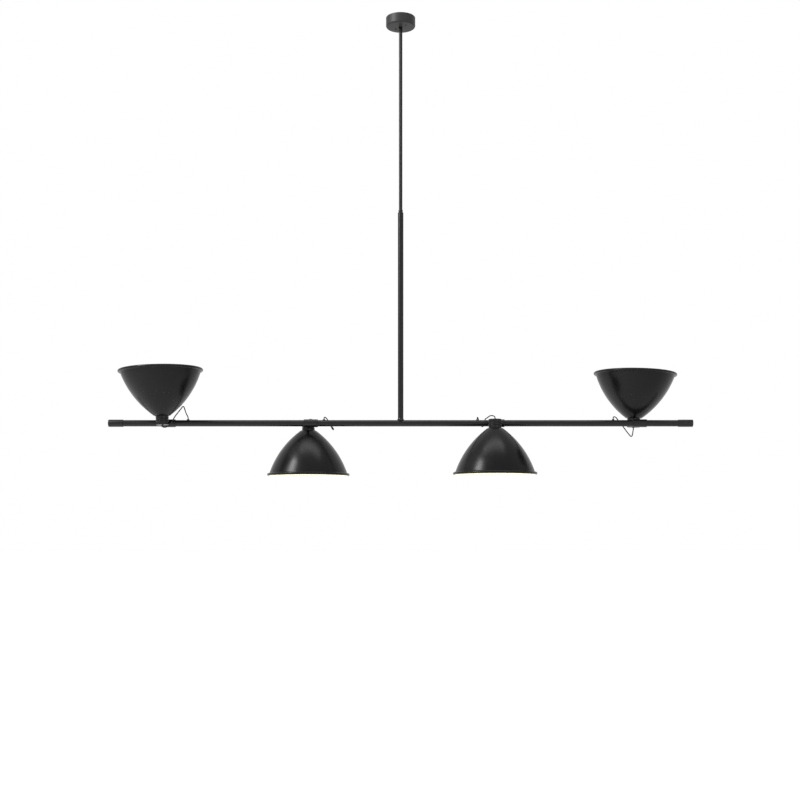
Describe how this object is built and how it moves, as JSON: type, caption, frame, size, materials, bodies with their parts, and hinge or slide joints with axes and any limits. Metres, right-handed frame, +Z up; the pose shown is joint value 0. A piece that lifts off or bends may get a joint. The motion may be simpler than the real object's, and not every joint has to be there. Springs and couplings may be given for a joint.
{
  "type": "pool table lamp",
  "caption": "Black linear suspension lamp with a ceiling rose, a two-stage stem, a long bar and spun bell shades on turning collars.",
  "frame": {"origin": "centre of the ceiling face, on the stem's axis", "axes": "+Z up to the ceiling, +X along the bar to the right, -Y to the front"},
  "size_m": [2, 0.385, 1.5667],
  "materials": {
    "black_steel": "satin",
    "black_cover": "satin",
    "black_fitting": "satin",
    "shade_enamel": "satin",
    "bare_steel": "satin",
    "dark_screw": "satin",
    "black_moulding": "matte",
    "white_moulding": "matte",
    "fibre": "matte",
    "opal": "satin",
    "lead_sheath": "satin"
  },
  "bodies": {
    "rose": {"ceiling_plate": "bare_steel", "canopy_cover": "black_cover", "canopy_screws": "dark_screw", "terminal_block": "white_moulding", "swivel_socket": "bare_steel"},
    "stem_and_bar": {"swivel_stem": "bare_steel", "stem_rod": "black_steel", "stem_reducer": "black_steel", "stem_tube": "black_steel", "stem_saddle": "black_steel", "saddle_nipple": "bare_steel", "bar_tube": "black_steel", "end_sleeve_right": "black_steel", "end_sleeve_left": "black_steel", "sleeve_screws": "dark_screw", "bar_grommets": "black_moulding", "lead_outer_left": "lead_sheath", "lead_inner_left": "lead_sheath", "lead_inner_right": "lead_sheath", "lead_outer_right": "lead_sheath"},
    "turner_outer_left": {"collar_outer_left": "black_fitting", "collar_screw_outer_left": "dark_screw", "pivot_bolt_outer_left": "dark_screw", "friction_washer_outer_left": "fibre"},
    "head_outer_left": {"neck_cup_outer_left": "black_fitting", "cord_gland_outer_left": "black_moulding", "lampholder_outer_left": "black_moulding", "shade_ring_outer_left": "black_moulding", "shade_outer_left": "shade_enamel", "bulb_outer_left": "opal"},
    "turner_inner_left": {"collar_inner_left": "black_fitting", "collar_screw_inner_left": "dark_screw", "pivot_bolt_inner_left": "dark_screw", "friction_washer_inner_left": "fibre"},
    "head_inner_left": {"neck_cup_inner_left": "black_fitting", "cord_gland_inner_left": "black_moulding", "lampholder_inner_left": "black_moulding", "shade_ring_inner_left": "black_moulding", "shade_inner_left": "shade_enamel", "bulb_inner_left": "opal"},
    "turner_inner_right": {"collar_inner_right": "black_fitting", "collar_screw_inner_right": "dark_screw", "pivot_bolt_inner_right": "dark_screw", "friction_washer_inner_right": "fibre"},
    "head_inner_right": {"neck_cup_inner_right": "black_fitting", "cord_gland_inner_right": "black_moulding", "lampholder_inner_right": "black_moulding", "shade_ring_inner_right": "black_moulding", "shade_inner_right": "shade_enamel", "bulb_inner_right": "opal"},
    "turner_outer_right": {"collar_outer_right": "black_fitting", "collar_screw_outer_right": "dark_screw", "pivot_bolt_outer_right": "dark_screw", "friction_washer_outer_right": "fibre"},
    "head_outer_right": {"neck_cup_outer_right": "black_fitting", "cord_gland_outer_right": "black_moulding", "lampholder_outer_right": "black_moulding", "shade_ring_outer_right": "black_moulding", "shade_outer_right": "shade_enamel", "bulb_outer_right": "opal"}
  },
  "joints": [
    {"name": "stem_swivel", "type": "hinge", "parent": "rose", "child": "stem_and_bar", "pos_m": [0, 0, -0.022], "axis": [0, 0, 1], "range_deg": [-170, 170]},
    {"name": "collar_turn_outer_left", "type": "hinge", "parent": "stem_and_bar", "child": "turner_outer_left", "pos_m": [-0.8065, 0, -1.388], "axis": [1, 0, 0], "range_deg": [-15, 195], "deforming": ["lead_outer_left"]},
    {"name": "head_tilt_outer_left", "type": "hinge", "parent": "turner_outer_left", "child": "head_outer_left", "pos_m": [-0.8065, -0.05, -1.388], "axis": [0, 1, 0], "range_deg": [-30, 30], "deforming": ["lead_outer_left"]},
    {"name": "collar_turn_inner_left", "type": "hinge", "parent": "stem_and_bar", "child": "turner_inner_left", "pos_m": [-0.3195, 0, -1.388], "axis": [1, 0, 0], "range_deg": [-195, 15], "deforming": ["lead_inner_left"]},
    {"name": "head_tilt_inner_left", "type": "hinge", "parent": "turner_inner_left", "child": "head_inner_left", "pos_m": [-0.3195, 0.05, -1.388], "axis": [0, 1, 0], "range_deg": [-30, 30], "deforming": ["lead_inner_left"]},
    {"name": "collar_turn_inner_right", "type": "hinge", "parent": "stem_and_bar", "child": "turner_inner_right", "pos_m": [0.3195, 0, -1.388], "axis": [1, 0, 0], "range_deg": [-15, 195], "deforming": ["lead_inner_right"]},
    {"name": "head_tilt_inner_right", "type": "hinge", "parent": "turner_inner_right", "child": "head_inner_right", "pos_m": [0.3195, -0.05, -1.388], "axis": [0, 1, 0], "range_deg": [-30, 30], "deforming": ["lead_inner_right"]},
    {"name": "collar_turn_outer_right", "type": "hinge", "parent": "stem_and_bar", "child": "turner_outer_right", "pos_m": [0.8065, 0, -1.388], "axis": [1, 0, 0], "range_deg": [-195, 15], "deforming": ["lead_outer_right"]},
    {"name": "head_tilt_outer_right", "type": "hinge", "parent": "turner_outer_right", "child": "head_outer_right", "pos_m": [0.8065, 0.05, -1.388], "axis": [0, 1, 0], "range_deg": [-30, 30], "deforming": ["lead_outer_right"]}
  ]
}
